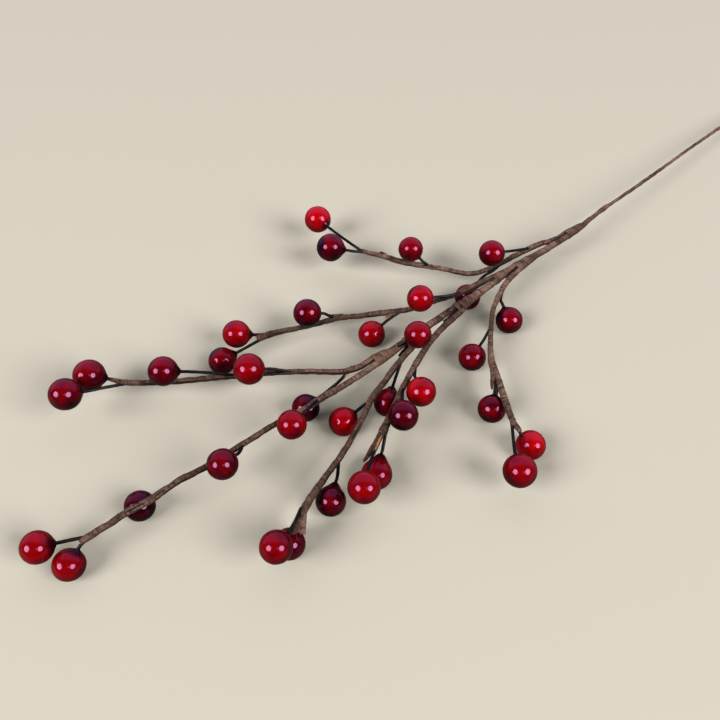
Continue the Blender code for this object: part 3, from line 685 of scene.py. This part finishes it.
GLUE_DEEP = (0.22, 0.08, 0.02, 1)
GLUE_CLOUDY = (0.42, 0.20, 0.07, 1)
GLUE_GRAIN = 1500
GLUE_ROUGHNESS = (0.25, 0.45)
GLUE_BUMP = 0.0001
GLUE_BUMP_STRENGTH = 0.6


def amber_glue():
    """Hot glue, amber and a little cloudy."""
    surface, tree, shader = new_material("amber_glue")
    cloud = grain(tree, place_on_part(tree), GLUE_GRAIN)
    connect(tree, shader, {
        "Base Color": blend_colours(tree, cloud, GLUE_DEEP, GLUE_CLOUDY),
        "Roughness": spread(tree, cloud, *GRAIN_RANGE, *GLUE_ROUGHNESS),
        "Normal": bump(tree, cloud, GLUE_BUMP, GLUE_BUMP_STRENGTH),
    })
    return surface


FLOOR_SEEN = (0.408, 0.388, 0.328, 1)
FLOOR_BOUNCE = (0.12, 0.11, 0.09, 1)
FLOOR_ROUGHNESS = 0.7
FLOOR_SPECULAR = 0.3


def plain_floor():
    """Pale to the eye, darker to the light that it throws back up on the object."""
    surface, tree, shader = new_material("pale_floor")
    seen = add(tree, "ShaderNodeLightPath").outputs["Is Camera Ray"]
    connect(tree, shader, {
        "Base Color": blend_colours(tree, seen, FLOOR_BOUNCE, FLOOR_SEEN),
        "Roughness": FLOOR_ROUGHNESS,
        "Specular IOR Level": FLOOR_SPECULAR,
    })
    return surface


# Routes

def limited(value):
    return min(max(value, 0.0), 1.0)


def ease(value):
    """0 to 1 with a soft start and end."""
    value = limited(value)
    return value * value * (3 - 2 * value)


def waver(x, y=0.0, z=0.0):
    """Smooth noise at a place, a little above and below 0. It is the same each time."""
    return noise.noise(Vector((x, y, z)))


def curve_at(points, index, share):
    """A smooth curve through the points, at a share of the way from point index to the next."""
    last = len(points) - 1
    p0, p1, p2, p3 = (points[min(max(index + k, 0), last)] for k in (-1, 0, 1, 2))
    return [
        0.5 * (2 * b + (c - a) * share + (2 * a - 5 * b + 4 * c - d) * share ** 2
               + (3 * b - a - 3 * c + d) * share ** 3)
        for a, b, c, d in zip(p0, p1, p2, p3)
    ]


def smooth_route(points, step):
    """Cross-sections about a step apart along the smooth curve through a route's points."""
    sections = []
    for index in range(len(points) - 1):
        length = math.dist(points[index][:3], points[index + 1][:3])
        count = max(1, round(length / step))
        sections += [curve_at(points, index, n / count) for n in range(count)]
    sections.append(list(points[-1]))
    return sections


Ring = namedtuple("Ring", "centre radius along side top")


def rings_along(points, step):
    """Centre, radius, distance from the start and the two cross directions of each ring of a tube."""
    sections = smooth_route(points, step)
    centres = [Vector(section[:3]) for section in sections]
    rings = []
    along = 0.0
    for n, centre in enumerate(centres):
        ahead = centres[min(n + 1, len(centres) - 1)] - centres[max(n - 1, 0)]
        side = ahead.cross(UP).normalized()
        top = side.cross(ahead).normalized()
        if n:
            along += (centre - centres[n - 1]).length
        rings.append(Ring(centre, sections[n][3], along, side, top))
    return rings


# Meshes

DOUBLES = 0.0005            # points closer than this are one point


def stain_and_shade(ring, angle, stain):
    """How dark the paper is: stained along its length, with painted shade on its sides and underside."""
    # Painted shade: the paper darkens on its sides and underside.
    below = ease(TAPE_SHADE_START - math.sin(angle))
    along = ring.centre.x * BLOTCH_WAVES
    across = ring.centre.y * BLOTCH_WAVES
    blotch = waver(along, math.cos(angle) * BLOTCH_ROUND, across)
    return limited(stain(ring) + BLOTCH_STAIN * blotch + TAPE_SHADE_BELOW * below)


def place_round(ring, angle, radius):
    """The point at an angle and a radius from a ring's centre."""
    return ring.centre + radius * (math.cos(angle) * ring.side + math.sin(angle) * ring.top)


def roll_tube(rings, sides, outline, lap=None, stain=None):
    """A grid rolled round the rings, closed at both ends. outline gives the radius at a ring and a turn.

    lap gives the painted shadow at the edges of a ring's turns, and stain how stained the tape is along
    its length; painted shade on its sides and underside is added to the stain.
    """
    tube = bmesh.new()
    uv = tube.loops.layers.uv.new("wound")
    lap_layer = tube.verts.layers.float.new("lap")
    stain_and_shade_layer = tube.verts.layers.float.new("stain_and_shade")
    bmesh.ops.create_grid(tube, x_segments=len(rings) - 1, y_segments=sides, size=1.0, calc_uvs=True)
    for vert in tube.verts:
        ring = rings[round((vert.co.x + 1) / 2 * (len(rings) - 1))]
        turn = (vert.co.y + 1) / 2
        angle = math.tau * turn
        radius = outline(ring, turn)
        vert[lap_layer] = lap(ring, turn) if lap else 0.0
        vert[stain_and_shade_layer] = stain_and_shade(ring, angle, stain) if stain else 0.0
        vert.co = place_round(ring, angle, radius)
    for face in tube.faces:
        for loop in face.loops:
            loop[uv].uv.x *= rings[-1].along
    bmesh.ops.remove_doubles(tube, verts=tube.verts, dist=DOUBLES)
    rims = [edge for edge in tube.edges if edge.is_boundary]
    bmesh.ops.holes_fill(tube, edges=rims, sides=0)
    return tube


def in_scene(name, data):
    made = bpy.data.objects.new(name, data)
    bpy.context.scene.collection.objects.link(made)
    return made


def finished_piece(name, shape, material, stands_for=()):
    """Takes a shape from millimetres to the row frame and makes it a piece that rides on the part."""
    bmesh.ops.transform(shape, matrix=TO_ROW, verts=shape.verts)
    bmesh.ops.recalc_face_normals(shape, faces=shape.faces)
    mesh = bpy.data.meshes.new(name)
    shape.to_mesh(mesh)
    shape.free()
    mesh.materials.append(material)
    mesh.shade_smooth()
    piece = in_scene(name, mesh)
    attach(piece, "root")
    if stands_for:
        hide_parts(*stands_for)


def join_into(whole, extra):
    """Adds a shape to another and frees it."""
    mesh = bpy.data.meshes.new("join")
    extra.to_mesh(mesh)
    extra.free()
    whole.from_mesh(mesh)
    bpy.data.meshes.remove(mesh)


# Beads

def bead_centre(berry):
    x, y, z = berry.centre
    if z is None:
        z = berry.radius - FLAT_SPOT
    return Vector((x, y, z))


def wire_direction(berry):
    """From the bead's centre out through its neck."""
    return (Vector(berry.wire[-1]) - bead_centre(berry)).normalized()


def bead_shade(berry, outward, angle, facing):
    """How dark the lacquer is: pooled round the neck, with painted shade below, and on some beads pooled
    lacquer and painted shadow on one side.
    """
    wander = noise.noise(outward * POOL_WAVES + Vector((berry.number, 0, 0)))
    edge = POOL_WIDTH + POOL_PER_NECK * berry.neck + POOL_WANDER * wander
    pool_and_shadow = 1 - limited((angle - edge * POOL_FULL) / edge)
    if berry.number in CLEAR_NECKS:
        pool_and_shadow = 0.0
    patch = noise.noise(outward * PATCH_WAVES + Vector((0, berry.number * PATCH_SEED, 0)))
    # Painted shade: the lacquer is drawn darker where the surface faces down.
    below = limited((BEAD_PAINTED_SHADE_START - facing.z) / BEAD_PAINTED_SHADE_FADE)
    shade = berry.shade + PATCH_SHADE * patch + BEAD_PAINTED_SHADE * below
    # Pooled lacquer and painted shadow: some beads are almost black on one side.
    if berry.number in DARK_SIDES:
        *direction, start = DARK_SIDES[berry.number]
        side = facing.dot(Vector(direction).normalized()) + DARK_SIDE_WANDER * wander
        pool_and_shadow = max(pool_and_shadow, DARK_SIDE_DEPTH * limited((side - start) / DARK_SIDE_FADE))
    return shade + (POOL_AND_SHADOW_SHADE - shade) * ease(pool_and_shadow)


def bead(berry, material):
    """A round dipped bead, a little uneven, drawn out to a point of lacquer along its wire."""
    turned = wire_direction(berry).to_track_quat("Z", "Y").to_matrix()
    shape = bmesh.new()
    shade = shape.verts.layers.float.new("shade")
    bmesh.ops.create_uvsphere(shape, u_segments=BEAD_MERIDIANS, v_segments=BEAD_PARALLELS, radius=1.0)
    for vert in shape.verts:
        outward = vert.co.normalized()
        angle = math.degrees(outward.angle(UP))
        uneven = noise.noise(outward * BEAD_WAVES + Vector((0, 0, berry.number * BEAD_SEED)))
        spread_angle = NECK_SPREAD + NECK_SHOULDER * berry.neck
        neck = berry.neck * math.exp(-((angle / spread_angle) ** 2))
        vert.co = outward * (berry.radius * (1 + BEAD_UNEVENNESS * uneven) + neck)
        vert[shade] = bead_shade(berry, outward, angle, turned @ outward)
    bmesh.ops.rotate(shape, matrix=turned, verts=shape.verts)
    bmesh.ops.translate(shape, vec=bead_centre(berry), verts=shape.verts)
    for vert in shape.verts:
        vert.co.z = max(vert.co.z, 0.0)
    number = f"{berry.number:02d}"
    finished_piece(f"bead_{number}", shape, material, [f"berry_{number}"])


# Wires and tape

def section_at(route, x):
    """Centre and radius where a route crosses x. Before its start, the section at its start."""
    sections = smooth_route(route, TAPE_STEP)
    for first, second in zip(sections, sections[1:]):
        if second[0] <= x <= first[0]:
            share = (first[0] - x) / (first[0] - second[0])
            return [p + share * (q - p) for p, q in zip(first, second)]
    return sections[0]


def wire_route(berry):
    centre = bead_centre(berry)
    direction = wire_direction(berry)
    distance = (Vector(berry.wire[-1]) - centre).length
    neck = centre + direction * (berry.radius + WIRE_CLEARANCE * (distance - berry.radius))
    end = centre + direction * (berry.radius - WIRE_REACH)
    return [(*point, WIRE_RADIUS) for point in [*berry.wire, neck, end]]


def wire_outline(ring, turn):
    drip = waver(ring.along * DRIP_WAVES, ring.centre.x, math.cos(math.tau * turn))
    return ring.radius * (1 + WIRE_DRIPS * drip)


def wire_tube(route, step=WIRE_STEP):
    return roll_tube(rings_along(route, step), WIRE_SIDES, wire_outline)


def bead_wires(stem, material):
    """The thin dark wires that run from one stem's tape into its beads."""
    wires = bmesh.new()
    for berry in BERRIES:
        if berry.stem == stem:
            join_into(wires, wire_tube(wire_route(berry)))
    finished_piece(f"wires_{stem}", wires, material, [stem])


def cut_root(route, x):
    """The route from where it crosses x on, for tape that starts inside a binding."""
    return [tuple(section_at(route, x)), *[point for point in route if point[0] < x - ROOT_GAP]]


def lap_step(share):
    """How far the tape stands out, at a share of the turn from one edge to the next."""
    return TAPE_EDGE * min(share / TAPE_EDGE_SHARE, 1.0) * (1 - share)


def lap_shadow(share):
    """1 at the tape's edge and 0 away from it."""
    return max(0.0, 1 - abs(share - 0.5 * TAPE_EDGE_SHARE) / TAPE_EDGE_SHARE)


def stem_tape(stem, route, pitch, hand):
    """Crepe-paper tape wound round a stem: lapped turns, lumps over the wires inside, small creases."""
    offset = Vector((0, 0, route[0][0]))

    def turn_share(ring, turn):
        wander = noise.noise(Vector((ring.along * PITCH_WAVES, 0, 0)) + offset)
        return (ring.along / pitch + hand * turn + wander) % 1.0

    def unevenness(ring, angle, lengthwise, crosswise):
        across = (crosswise * math.cos(angle), crosswise * math.sin(angle))
        return noise.noise(Vector((ring.along * lengthwise, *across)) + offset)

    def outline(ring, turn):
        angle = math.tau * turn
        step = lap_step(turn_share(ring, turn))
        lump = TAPE_LUMPS * unevenness(ring, angle, *LUMP_WAVES)
        crease = TAPE_CREASES * unevenness(ring, angle, *CREASE_WAVES)
        cores = CORE_BULGE * ring.radius * math.cos(2 * angle - ring.along * CORE_TWIST)
        return ring.radius + step + lump + crease + cores - TAPE_EDGE * TAPE_EDGE_MEAN

    def lap(ring, turn):
        return lap_shadow(turn_share(ring, turn))

    def stain(ring):
        grown = (TIP_STAIN_START - ring.centre.x) / TIP_STAIN_LENGTH
        towards_tip = ease(grown) if stem == "main_stem" else 0.0
        return STAINS[stem] + TIP_STAIN * towards_tip

    return roll_tube(rings_along(route, TAPE_STEP), TAPE_SIDES, outline, lap, stain)


def stem_piece(stem, route, pitch, hand, material):
    """A stem's tape and the short strands beside it, as one piece."""
    tape = stem_tape(stem, route, pitch, hand)
    for carrier, strand in STRANDS:
        if carrier == stem:
            join_into(tape, stem_tape(stem, strand, SIDE_PITCH, hand))
    finished_piece(f"tape_{stem}", tape, material, [stem])


def hull_reach(discs, middle, direction):
    """How far a paper drawn tight round some discs lies from the middle in a direction."""
    reach = math.inf
    for n in range(HULL_VIEWS):
        angle = math.tau * n / HULL_VIEWS
        view = (math.cos(angle), math.sin(angle))
        facing = view[0] * direction[0] + view[1] * direction[1]
        if facing > HULL_LEAST_FACING:
            support = max(
                (y - middle[0]) * view[0] + (z - middle[1]) * view[1] + radius for y, z, radius in discs
            )
            reach = min(reach, support / facing)
    return reach


def binding_rings(side_stem, start, end):
    """The rings of a binding, and the discs of the two stems that it lies round at each of them.

    A ring's radius here is how far the binding has opened, from 0 at its start to 1.
    """
    count = round((start - end) / TAPE_STEP)
    rings = []
    discs = {}
    for n in range(count + 1):
        x = start + (end - start) * n / count
        main = section_at(MAIN_STEM, x)
        side = section_at(SIDE_STEMS[side_stem], x)
        opened = ease(BINDING_OPENING * n / count)
        side = [m + opened * (s - m) for m, s in zip(main, side)]
        side[3] *= 0.5 + 0.5 * opened
        middle = [(m + s) / 2 for m, s in zip(main, side)]
        ring = Ring(Vector((x, middle[1], middle[2])), opened, start - x, SIDEWAYS, UP)
        discs[ring.along] = [main[1:], side[1:]]
        rings.append(ring)
    return rings, discs


def binding(name, side_stem, start, end, material):
    """Tape wound round the main stem and the root of a side stem together, up to the crotch."""
    rings, discs = binding_rings(side_stem, start, end)

    def turn_share(ring, turn):
        wander = BINDING_WANDER * waver(ring.centre.x * BINDING_PITCH_WAVES, 0, 3)
        return (ring.along / SIDE_PITCH + turn + wander) % 1.0

    def outline(ring, turn):
        angle = math.tau * turn
        direction = (math.cos(angle), math.sin(angle))
        reach = hull_reach(discs[ring.along], ring.centre[1:], direction)
        step = lap_step(turn_share(ring, turn))
        lengthwise, crosswise = BINDING_LUMP_WAVES
        place = (ring.centre.x * lengthwise, crosswise * direction[0], crosswise * direction[1])
        paper = BINDING_THICKNESS + step + TAPE_LUMPS * waver(*place)
        return reach + paper * ring.radius - BINDING_TUCK * (1 - ring.radius)

    def lap(ring, turn):
        return lap_shadow(turn_share(ring, turn))

    def stain(ring):
        near_crotch = 1 - ease((ring.centre.x - end) / BINDING_STAIN_LENGTH)
        return STAINS["main_stem"] + BINDING_STAIN * STAINS[side_stem] * near_crotch

    tube = roll_tube(rings, BINDING_SIDES, outline, lap, stain)
    for vert in tube.verts:
        near_end = limited((end + BINDING_END - vert.co.x) / BINDING_END)
        torn = waver(0, vert.co.y * BINDING_TEAR_WAVES, vert.co.z * BINDING_TEAR_WAVES + start)
        vert.co.x -= BINDING_RAGGED * torn * near_end
    finished_piece(name, tube, material)


def slit_wire_and_shade(side_stem, start, end, thickness):
    """A dark wire in the groove between the main stem and a side stem that runs beside it; it also stands
    in for the shade in the groove.
    """
    route = []
    for n in range(SLIT_POINTS):
        share = n / (SLIT_POINTS - 1)
        x = start + (end - start) * n / (SLIT_POINTS - 1)
        main = section_at(MAIN_STEM, x)
        side = section_at(SIDE_STEMS[side_stem], x)
        towards = Vector(main[:3]) - Vector(side[:3])
        gap = towards.length - main[3] - side[3]
        towards.normalize()
        middle = Vector(side[:3]) + towards * (side[3] + 0.5 * min(gap, 2 * thickness))
        rise = SLIT_RISE * ease(1 - gap / SLIT_OPEN)
        lumps = 1 + SLIT_LUMPS * waver(x * SLIT_WAVES, 5)
        radius = thickness * (1 - SLIT_TAPER * share) * lumps
        route.append((middle.x, middle.y, middle.z + rise, radius))
    return wire_tube(route)


def seam_wire_and_shade(stem, start, end, turn):
    """A dark wire half sunk in a stem's tape, where the paper's edge doesn't cover it; it also stands in
    for the shade along the stem's edge.
    """
    route = MAIN_STEM if stem == "main_stem" else SIDE_STEMS[stem]
    points = []
    for ring in rings_along(route, SEAM_STEP):
        x = ring.centre.x
        if end <= x <= start:
            angle = math.radians(turn) + SEAM_WANDER * waver(x * SEAM_WAVES)
            sunk = SEAM_SUNK + SEAM_SUNK_CHANGE * waver(x * SEAM_SUNK_WAVES, 7)
            points.append((*place_round(ring, angle, ring.radius - sunk), SEAM_WIRE))
    return wire_tube(points)


def bare_wires_and_shade(material):
    """Dark wires in the slits, at the edges of the tape and at cut ends; those in the slits and at the
    edges also stand in for shade.
    """
    wires = bmesh.new()
    for slit in SLIT_WIRES_AND_SHADE:
        join_into(wires, slit_wire_and_shade(*slit))
    for seam in SEAM_WIRES_AND_SHADE:
        join_into(wires, seam_wire_and_shade(*seam))
    for points, radius in WIRE_ENDS:
        join_into(wires, wire_tube([(*point, radius) for point in points]))
    finished_piece("bare_wires_and_shade", wires, material)


def paper_scrap(scrap):
    """A scrap of torn tape: a grid laid along its points, curled across and ragged at the far end."""
    sheet = bmesh.new()
    uv = sheet.loops.layers.uv.new("wound")
    sheet.verts.layers.float.new("lap")
    sheet.verts.layers.float.new("stain_and_shade")
    bmesh.ops.create_grid(sheet, x_segments=SCRAP_LENGTHWISE, y_segments=SCRAP_CROSSWISE, size=1.0,
                          calc_uvs=True)
    across = Vector(scrap.across).normalized()
    seed = Vector((scrap.points[0][0], 0, 0))
    spans = len(scrap.points) - 1
    buckle_along, buckle_across = SCRAP_BUCKLE_WAVES
    for vert in sheet.verts:
        along = (vert.co.x + 1) / 2
        side = vert.co.y
        ragged = SCRAP_RAGGED * noise.noise(Vector((side * SCRAP_TEETH, 0, 0)) + seed)
        place = along * (SCRAP_LENGTH + ragged) * spans
        index = min(int(place), spans - 1)
        x, y, z, width = curve_at(scrap.points, index, place - index)
        uneven = noise.noise(Vector((along * SCRAP_WIDTH_WAVES, side, 0)) + seed)
        width *= 1 + SCRAP_UNEVEN_WIDTH * uneven
        buckle = noise.noise(Vector((along * buckle_along, side * buckle_across, 2)) + seed)
        lift = SCRAP_BUCKLE * buckle - scrap.curl * side * side
        vert.co = Vector((x, y, z)) + across * side * width / 2 + UP * lift
    length = sum(math.dist(a[:3], b[:3]) for a, b in zip(scrap.points, scrap.points[1:]))
    for face in sheet.faces:
        for loop in face.loops:
            loop[uv].uv.x *= length
    bmesh.ops.recalc_face_normals(sheet, faces=sheet.faces)
    bmesh.ops.solidify(sheet, geom=sheet.faces[:], thickness=SCRAP_THICKNESS)
    return sheet


def torn_tape(material):
    scraps = bmesh.new()
    for scrap in SCRAPS:
        join_into(scraps, paper_scrap(scrap))
    finished_piece("torn_tape", scraps, material)


def glue_traces(material):
    """Amber strings and beads of hot glue left where wires leave the tape."""
    glue = bmesh.new()
    at_start, at_end = GLUE_ENDS
    for start, end, radius in GLUE:
        middle = [(p + q) / 2 for p, q in zip(start, end)]
        route = [(*start, at_start * radius), (*middle, radius), (*end, at_end * radius)]
        join_into(glue, wire_tube(route, GLUE_STEP))
    finished_piece("glue_traces", glue, material)


def handle_core(material):
    """The cut end of the steel wire inside the handle's tape."""
    finished_piece("handle_core", wire_tube(HANDLE_CORE), material)


# Setting

# In metres, in the row frame
CAMERA_PLACE = Vector((-0.170, -0.1152, 0.203))
CAMERA_TURN = math.radians(38)
HEADING = Vector((math.sin(CAMERA_TURN), math.cos(CAMERA_TURN), 0))
LOOK_DOWN = math.radians(53)
PICTURE_WIDTH = 36          # millimetres, as is the lens, which is as long as the picture is wide
CLOSEST_SEEN = 0.001

LAMP_AIM = Vector((-0.07, 0.0, 0.01))
LAMP_DISTANCE = 4.2
LAMP_TINT = (1.0, 0.98, 0.98)
# Lamps: name, degrees to the right of the camera, width in metres, watts
LAMPS = [
    ("left_lamp", -43, 2.52, 186),
    ("right_lamp", 43, 2.52, 186),
    ("small_lamp", 17, 0.8, 5),
]

# The air's light: in front, behind the object, behind it as the gloss mirrors it, and to the eye
AIR_IN_FRONT = (0.05, 0.05, 0.05, 1)
AIR_BEHIND = (0.72, 0.70, 0.71, 1)
AIR_MIRRORED = (0.72, 0.62, 0.95, 1)
AIR_SEEN = (0.80, 0.78, 0.74, 1)
AIR_TURNS = (-0.05, 0.40)   # cosine from the heading over which front turns to behind

FLOOR_REACH = 4.0
FLOOR_DROP = 0.00005        # the floor lies just below the part


def photo_camera():
    look = HEADING * math.cos(LOOK_DOWN) - UP * math.sin(LOOK_DOWN)
    lens = bpy.data.cameras.new("camera")
    lens.lens = PICTURE_WIDTH
    lens.sensor_width = PICTURE_WIDTH
    lens.clip_start = CLOSEST_SEEN
    camera = in_scene("camera", lens)
    camera.location = CAMERA_PLACE
    camera.rotation_euler = look.to_track_quat("-Z", "Y").to_euler()
    bpy.context.scene.camera = camera


def soft_light(name, place, size, power):
    lamp = bpy.data.lights.new(name, "AREA")
    lamp.shape = "DISK"
    lamp.size = size
    lamp.energy = power
    lamp.color = LAMP_TINT
    light = in_scene(name, lamp)
    light.location = place
    light.rotation_euler = (LAMP_AIM - place).to_track_quat("-Z", "Y").to_euler()
    light.visible_camera = False


def studio_lights():
    """Two soft lamps to the left and right of the camera, and a small weak one between them."""
    across = HEADING.cross(UP)
    towards = -HEADING * math.cos(LOOK_DOWN) + UP * math.sin(LOOK_DOWN)
    for name, degrees, size, power in LAMPS:
        turn = math.radians(degrees)
        place = LAMP_AIM + LAMP_DISTANCE * (towards * math.cos(turn) + across * math.sin(turn))
        soft_light(name, place, size, power)


def studio_air():
    """Soft white light, brighter from behind and above the object than from the camera's side."""
    world = bpy.data.worlds.new("studio")
    bpy.context.scene.world = world
    world.use_nodes = True
    tree = world.node_tree
    direction = add(tree, "ShaderNodeTexCoord").outputs["Generated"]
    dot = add(tree, "ShaderNodeVectorMath", {0: direction, 1: HEADING}, operation="DOT_PRODUCT")
    behind = spread(tree, dot.outputs["Value"], *AIR_TURNS)
    ray = add(tree, "ShaderNodeLightPath")
    far = blend_colours(tree, ray.outputs["Is Glossy Ray"], AIR_BEHIND, AIR_MIRRORED)
    colour = blend_colours(tree, behind, AIR_IN_FRONT, far)
    colour = blend_colours(tree, ray.outputs["Is Camera Ray"], colour, AIR_SEEN)
    connect(tree, tree.nodes["Background"], {"Color": colour, "Strength": 1.0})


def floor(material):
    shape = bmesh.new()
    bmesh.ops.create_grid(shape, x_segments=1, y_segments=1, size=FLOOR_REACH)
    bmesh.ops.translate(shape, vec=-UP * FLOOR_DROP, verts=shape.verts)
    mesh = bpy.data.meshes.new("floor")
    shape.to_mesh(mesh)
    shape.free()
    mesh.materials.append(material)
    in_scene("floor", mesh)


def main():
    bpy.context.scene.view_settings.view_transform = "Standard"
    bpy.context.scene.view_settings.look = "Medium High Contrast"
    photo_camera()
    studio_lights()
    studio_air()
    floor(plain_floor())
    depth = lacquer_depth_group()
    bright = bright_red_lacquer(depth)
    burgundy = burgundy_lacquer(depth)
    for berry in BERRIES:
        if berry.number in BRIGHT_BERRIES:
            bead(berry, bright)
        else:
            bead(berry, burgundy)
    paper = wound_tape(paper_creases_group())
    wire = dark_wire()
    stem_piece("main_stem", MAIN_STEM, MAIN_PITCH, 1, paper)
    bead_wires("main_stem", wire)
    for number, (stem, start, end) in enumerate(BINDINGS):
        route = cut_root(SIDE_STEMS[stem], end + ROOT_INSIDE)
        stem_piece(stem, route, SIDE_PITCH, 1 if number % 2 else -1, paper)
        bead_wires(stem, wire)
        binding(f"binding_{stem[-1]}", stem, start, end, paper)
    bare_wires_and_shade(wire)
    torn_tape(paper)
    glue_traces(amber_glue())
    handle_core(wire)


main()
